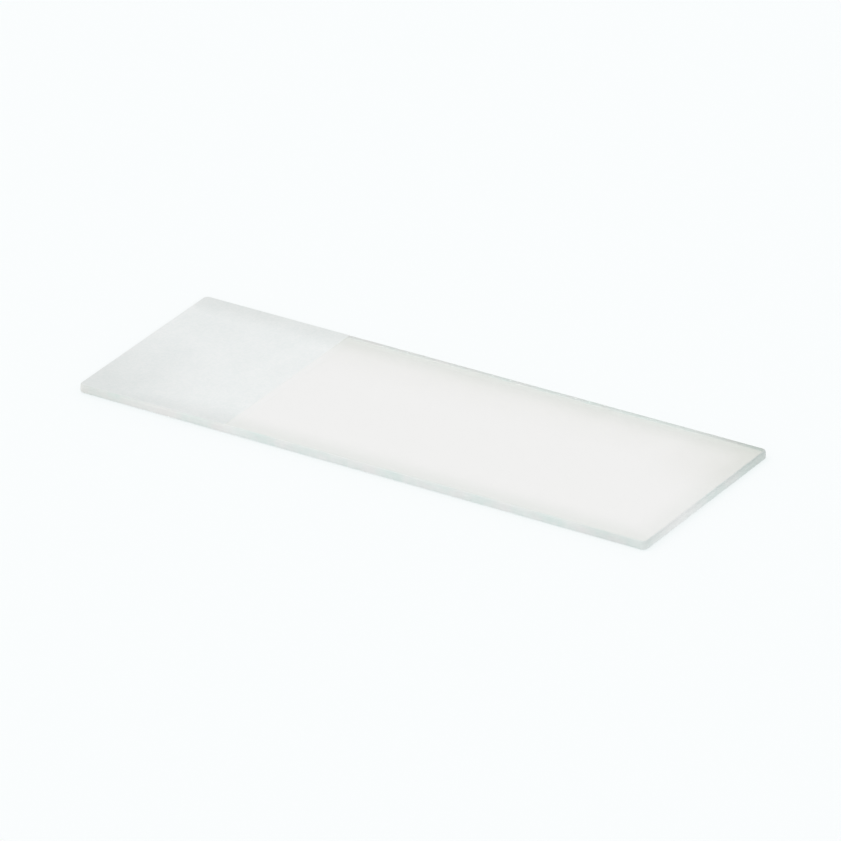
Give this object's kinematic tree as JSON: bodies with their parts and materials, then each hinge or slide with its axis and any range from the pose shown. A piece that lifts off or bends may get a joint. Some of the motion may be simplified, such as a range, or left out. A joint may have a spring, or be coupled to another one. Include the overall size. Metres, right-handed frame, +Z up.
{
  "type": "microscope slide",
  "caption": "Flat rectangular glass plate with ground, bevelled edges and a frosted writing end, for carrying a specimen under a microscope.",
  "frame": {"origin": "centre of the underside", "axes": "+X along the length towards the clear end, +Y across the width, +Z up, out of the face that is frosted at one end"},
  "size_m": [0.076, 0.026, 0.0011],
  "materials": {
    "glass": "polished clear faces, matt etched end and ground rim"
  },
  "bodies": {
    "root": {"glass_slide": "glass"}
  },
  "joints": []
}
